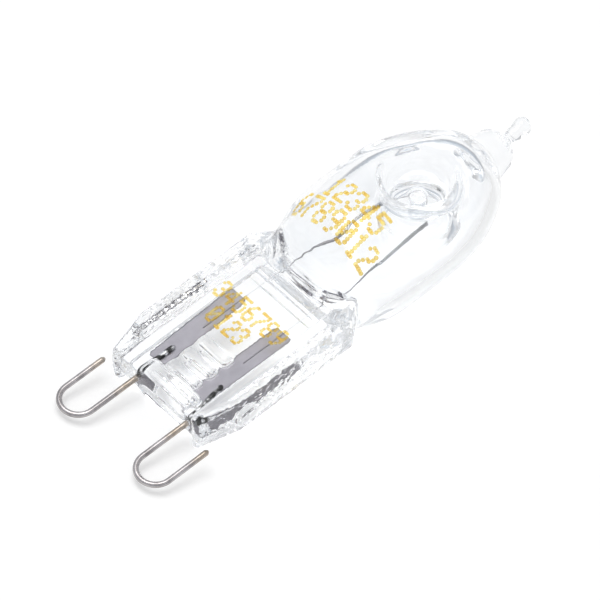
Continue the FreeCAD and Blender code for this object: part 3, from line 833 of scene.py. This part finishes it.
def make_lead(side, material):
    """One inner lead."""
    sign = SIDES[side]
    seal = sign * LEAD_SEAL[side]
    top = sign * FILAMENT_HALF_GAP
    line = [(x, seal, LEAD_LEVEL) for x in stations(LEAD_START, LEAD_CRANK, WIRE_STEP)[:-1]]
    for x in stations(LEAD_CRANK, FILAMENT_START, WIRE_STEP):
        share = (x - LEAD_CRANK) / (FILAMENT_START - LEAD_CRANK)
        line.append((x, seal + (top - seal) * share, LEAD_LEVEL))
    line = np.array(line)
    floor = [WELD_LEVEL if x < FOIL_END else NO_FLOOR for x, y, z in line]
    free = np.clip((line[:, 0] - CAVITY_FLOOR) / (FILAMENT_START - CAVITY_FLOOR), 0, 1)
    radius = LEAD_SEAL_RADIUS + (LEAD_RADIUS - LEAD_SEAL_RADIUS) * free
    points, faces = tube(line, radius, 14, floor)
    return new_piece("lead_wire_" + side, points, faces, material,
                     ["inner_lead_" + side])


def filament_path():
    """The filament's middle line, and for each point whether the wire is coiled there."""
    post = Vector((DIMPLE_AT, 0))
    route = []
    coiled = []
    for side, sign in SIDES.items():
        foot = Vector((FILAMENT_START, sign * FILAMENT_HALF_GAP))
        coil_end = Vector(COIL_ENDS[side])
        to_coil = coil_end - post
        spread = math.acos(POST_LOOP_RADIUS / to_coil.length)
        touch = math.atan2(to_coil.y, to_coil.x) - sign * spread
        steps = [foot.lerp(coil_end, share) for share in np.linspace(0, 1, LEG_STEPS)]
        marks = np.linspace(COIL_START_SHARE, 1, len(steps)).tolist()
        loop_start = post + POST_LOOP_RADIUS * Vector((math.cos(touch), math.sin(touch)))
        steps += [coil_end.lerp(loop_start, share) for share in np.linspace(0, 1, BARE_STEPS)[1:]]
        touch = touch % (2 * math.pi) - (0 if sign > 0 else 2 * math.pi)
        for angle in np.linspace(touch, 0, BARE_STEPS)[1:]:
            steps.append(post + POST_LOOP_RADIUS * Vector((math.cos(angle), math.sin(angle))))
        marks += [0.0] * (len(steps) - len(marks))
        route += steps if sign > 0 else steps[-2::-1]
        coiled += marks if sign > 0 else marks[-2::-1]
    return np.array([(place.x, place.y, LEAD_LEVEL) for place in route]), np.array(coiled)


def make_filament(material):
    """The filament: two coiled legs and bare wire that runs round the post between them."""
    path, coiled = filament_path()
    steps = np.linalg.norm(np.diff(path, axis=0), axis=1)
    travel = np.concatenate([[0.0], np.cumsum(steps)])
    places = np.arange(0, travel[-1], FILAMENT_TURN / FILAMENT_STEPS_PER_TURN)
    middle = np.stack([np.interp(places, travel, path[:, axis]) for axis in range(3)], axis=1)
    tangent = np.gradient(middle, axis=0)
    tangent /= np.linalg.norm(tangent, axis=1)[:, None]
    up = np.array((0.0, 0.0, 1.0))
    side = np.cross(tangent, up)
    angle = (places * 2 * math.pi / FILAMENT_TURN)[:, None]
    reach = (FILAMENT_RADIUS - FILAMENT_WIRE) * np.interp(places, travel, coiled)[:, None]
    coil = middle + reach * (np.cos(angle) * side + np.sin(angle) * up)
    points, faces = tube(coil, FILAMENT_WIRE, 6)
    return new_piece("coiled_filament", points, faces, material, ["filament"])


# Print: plain counting digits in dots, five wide and seven high

DIGITS = {
    "0": ("01110", "10001", "10011", "10101", "11001", "10001", "01110"),
    "1": ("00100", "01100", "00100", "00100", "00100", "00100", "01110"),
    "2": ("01110", "10001", "00001", "00110", "01000", "10000", "11111"),
    "3": ("01110", "10001", "00001", "00110", "00001", "10001", "01110"),
    "4": ("00010", "00110", "01010", "10010", "11111", "00010", "00010"),
    "5": ("11111", "10000", "11110", "00001", "00001", "10001", "01110"),
    "6": ("00110", "01000", "10000", "11110", "10001", "10001", "01110"),
    "7": ("11111", "00001", "00010", "00100", "01000", "01000", "01000"),
    "8": ("01110", "10001", "10001", "01110", "10001", "10001", "01110"),
    "9": ("01110", "10001", "10001", "01111", "00001", "00010", "01100"),
}
INK_LIFT = 0.012
INK_THICKNESS = 0.008
DOT_SIDES = 8
DOT_ROWS = 7
DOT_SHARE = 0.62
DOT_UNEVENNESS = (0.85, 1.1)
LETTER_COLUMNS = 6.2
SLOPE_STEP = 0.05
# Each line: digits, its foot along the lamp, its letter height, the pitch of its letters
BULB_LINES = (("12345", 20.5, 2.15, 1.3), ("6789012", 18.15, 2.15, 1.36))
WEB_LINES = (("3456789", 9.6, 1.8, 1.09), ("0123", 7.5, 1.8, 1.0))
WEB_LINE_MIDDLES = (0.3, 0.7)


def dots_of(text, foot, height, pitch):
    """Centres of a line's dots (along the lamp, across from its middle), and their radius."""
    step = height / DOT_ROWS
    narrow = pitch / LETTER_COLUMNS
    places = []
    for number, digit in enumerate(text):
        middle = (number - (len(text) - 1) / 2) * pitch
        for row, pattern in enumerate(DIGITS[digit]):
            for column, mark in enumerate(pattern):
                if mark == "1":
                    places.append((foot + (DOT_ROWS - 0.5 - row) * step,
                                   middle + (column - 2) * narrow))
    return places, step * DOT_SHARE


def surface_radius(x):
    """The round glass's radius at a station of the neck or the barrel."""
    return BULB_RADIUS - NECK_BEND + math.sqrt(NECK_BEND ** 2 - float(neck_run(x)) ** 2)


def add_dot(points, faces, centre, first, second, radius):
    """A small flat disc of ink."""
    start = len(points)
    lift = INK_THICKNESS * np.cross(first, second)
    for level in (0, 1):
        for index in range(DOT_SIDES):
            angle = 2 * math.pi * index / DOT_SIDES
            points.append(centre + level * lift
                          + radius * (math.cos(angle) * first + math.sin(angle) * second))
    faces.append(tuple(range(start + DOT_SIDES, start + 2 * DOT_SIDES)))
    faces.append(tuple(reversed(range(start, start + DOT_SIDES))))
    for index in range(DOT_SIDES):
        after = (index + 1) % DOT_SIDES
        faces.append((start + index, start + after, start + DOT_SIDES + after,
                      start + DOT_SIDES + index))


def make_print(material):
    """The dotted digits on the bulb and on the flat seal."""
    rough = np.random.default_rng(7)
    points = []
    faces = []
    for line in BULB_LINES:
        places, size = dots_of(*line)
        for x, across in places:
            radius = surface_radius(x) + INK_LIFT
            slope = ((surface_radius(x + SLOPE_STEP) - surface_radius(x - SLOPE_STEP))
                     / (2 * SLOPE_STEP))
            angle = across / radius
            out = np.array((0.0, -math.sin(angle), math.cos(angle)))
            along = np.array((1.0, 0, 0)) + slope * out
            along /= np.linalg.norm(along)
            side = np.array((0.0, math.cos(angle), math.sin(angle)))
            centre = np.array((x, 0, 0)) + radius * out
            add_dot(points, faces, centre, along, side, size * rough.uniform(*DOT_UNEVENNESS))
    for line, middle in zip(WEB_LINES, WEB_LINE_MIDDLES):
        places, size = dots_of(*line)
        for x, across in places:
            centre = np.array((x, middle - across, WEB_HALF + INK_LIFT))
            add_dot(points, faces, centre, np.array((1.0, 0, 0)), np.array((0.0, 1, 0)),
                    size * rough.uniform(*DOT_UNEVENNESS))
    piece = new_piece("dotted_digits", points, faces, material)
    piece.visible_shadow = False
    return piece


# Studio

FLOOR_HALF = 3.0
PAPER_END = 0.12
PAPER_FADE = 0.08
CAMERA_AIM = (-3.19, -1.14, 6.0)
CAMERA_AZIMUTH = -141.85
CAMERA_ELEVATION = 45.13
CAMERA_ROLL = 11.95
CAMERA_DISTANCE = 423.9
CAMERA_LENS = 322.8
SENSOR = 36.0
LIGHT_BOUNCES = 32


def make_floor():
    """A white floor that takes the lamp's soft shadow."""
    material, tree, output = new_material("white_floor")
    path = node(tree, "ShaderNodeLightPath").outputs
    seen = maths(tree, "MAXIMUM", path["Is Camera Ray"], path["Is Glossy Ray"])
    seen = maths(tree, "MAXIMUM", seen, path["Is Transmission Ray"])
    paper = node(tree, "ShaderNodeBsdfDiffuse", {"Color": (0.8, 0.8, 0.8, 1.0)})
    place = node(tree, "ShaderNodeNewGeometry").outputs["Position"]
    # Glass and metal see the paper's end: it is grey from there on
    reach = node(tree, "ShaderNodeVectorMath", {0: place}, operation="LENGTH").outputs["Value"]
    near = spread(tree, reach, PAPER_END, PAPER_END + PAPER_FADE, 1.0, 0.35)
    dim = maths(tree, "MAXIMUM", near, path["Is Camera Ray"])
    # They also see a soft shade beside the bulb, which is drawn here and not cast
    spot = node(tree, "ShaderNodeSeparateXYZ", {0: place}).outputs
    shade = maths(tree, "MULTIPLY", over(tree, spot["Y"], SHADE_ACROSS),
                  over(tree, spot["X"], SHADE_ALONG))
    soft = spread(tree, shade, 0.0, 1.0, 0.19, 0.05)
    strength = node(tree, "ShaderNodeMix", {0: path["Is Camera Ray"], 2: soft, 3: 0.24})
    glow = node(tree, "ShaderNodeEmission", {"Color": (1, 1, 1, 1),
                                             "Strength": strength.outputs[0]})
    lit = node(tree, "ShaderNodeAddShader", {0: paper.outputs[0], 1: glow.outputs[0]})
    wall = node(tree, "ShaderNodeEmission", {"Color": (0.45, 0.46, 0.48, 1), "Strength": 1.0})
    lit = node(tree, "ShaderNodeMixShader", {0: dim, 1: wall.outputs[0], 2: lit.outputs[0]})
    mix = node(tree, "ShaderNodeMixShader", {0: seen, 1: paper.outputs[0], 2: lit.outputs[0]})
    tree.links.new(mix.outputs[0], output.inputs["Surface"])
    mesh = bpy.data.meshes.new("floor")
    half = FLOOR_HALF
    mesh.from_pydata([(-half, -half, 0), (half, -half, 0), (half, half, 0), (-half, half, 0)], [],
                     [(0, 1, 2, 3)])
    mesh.materials.append(material)
    floor = bpy.data.objects.new("floor", mesh)
    bpy.context.collection.objects.link(floor)


def make_world():
    """Even soft light, seen by glass and metal as a bright band between grey walls and ceiling."""
    world = bpy.data.worlds.new("studio")
    bpy.context.scene.world = world
    world.use_nodes = True
    tree = world.node_tree
    tree.nodes.clear()
    place = node(tree, "ShaderNodeTexCoord").outputs["Generated"]
    parts = node(tree, "ShaderNodeSeparateXYZ", {0: place})
    walls = ramp(tree, parts.outputs["Z"], [
        (0.0, (0.44, 0.46, 0.49)), (0.25, (0.47, 0.52, 0.58)), (0.5, (0.80, 0.86, 0.93)),
        (0.62, (1, 1, 1)), (0.80, (0.55, 0.55, 0.56))])
    path = node(tree, "ShaderNodeLightPath").outputs
    even = mixed(tree, path["Is Diffuse Ray"], walls, (0.62, 0.62, 0.62, 1))
    seen = mixed(tree, path["Is Camera Ray"], even, (1, 1, 1, 1))
    shader = node(tree, "ShaderNodeBackground", {"Strength": 1.0, "Color": seen})
    output = node(tree, "ShaderNodeOutputWorld")
    tree.links.new(shader.outputs[0], output.inputs["Surface"])


def add_light(name, place, aim, size, power):
    """A square soft light, its place, aim and size in the frame's millimetres."""
    light = bpy.data.lights.new(name, "AREA")
    light.size = size * MM
    light.energy = power
    lamp = bpy.data.objects.new(name, light)
    bpy.context.collection.objects.link(lamp)
    lamp.location = Vector(place) * MM
    lamp.rotation_euler = (Vector(aim) * MM - lamp.location).to_track_quat("-Z", "Y").to_euler()
    return lamp


def make_camera():
    """The camera at the photo's angle."""
    data = bpy.data.cameras.new("camera")
    data.lens = CAMERA_LENS
    data.sensor_width = SENSOR
    data.sensor_fit = "HORIZONTAL"
    data.clip_start = 0.01
    data.clip_end = 20.0
    camera = bpy.data.objects.new("camera", data)
    bpy.context.collection.objects.link(camera)
    azimuth = math.radians(CAMERA_AZIMUTH)
    elevation = math.radians(CAMERA_ELEVATION)
    away = Vector((math.cos(elevation) * math.cos(azimuth), math.cos(elevation) * math.sin(azimuth),
                   math.sin(elevation)))
    camera.location = (Vector(CAMERA_AIM) + away * CAMERA_DISTANCE) * MM
    look = (-away).to_track_quat("-Z", "Y")
    roll = Matrix.Rotation(math.radians(CAMERA_ROLL), 4, "Z")
    camera.matrix_world = Matrix.Translation(camera.location) @ look.to_matrix().to_4x4() @ roll
    bpy.context.scene.camera = camera


def main():
    """Builds the lamp, its floor, light and camera."""
    make_glass(glass_material())
    pin_metal = pin_material()
    lead_metal = lead_material()
    foil_metal = wire_material("foil", ((0.34, 0.33, 0.36), (0.41, 0.395, 0.43)), 0.6, 500.0)
    coil_metal = wire_material("tungsten", ((0.34, 0.34, 0.35), (0.52, 0.52, 0.54)), 0.35, 1500.0)
    for seed, side in enumerate(SIDES):
        make_pin(side, pin_metal)
        make_foil(side, foil_metal, seed)
        make_lead(side, lead_metal)
    make_filament(coil_metal)
    make_print(ink_material())
    make_floor()
    make_world()
    add_light("overhead", (-60, 80, 400), (0, 0, 0), 300, 0.8)
    make_camera()
    bpy.context.scene.view_settings.view_transform = "Standard"
    cycles = bpy.context.scene.cycles
    cycles.max_bounces = LIGHT_BOUNCES
    cycles.transmission_bounces = LIGHT_BOUNCES
    cycles.glossy_bounces = LIGHT_BOUNCES


main()
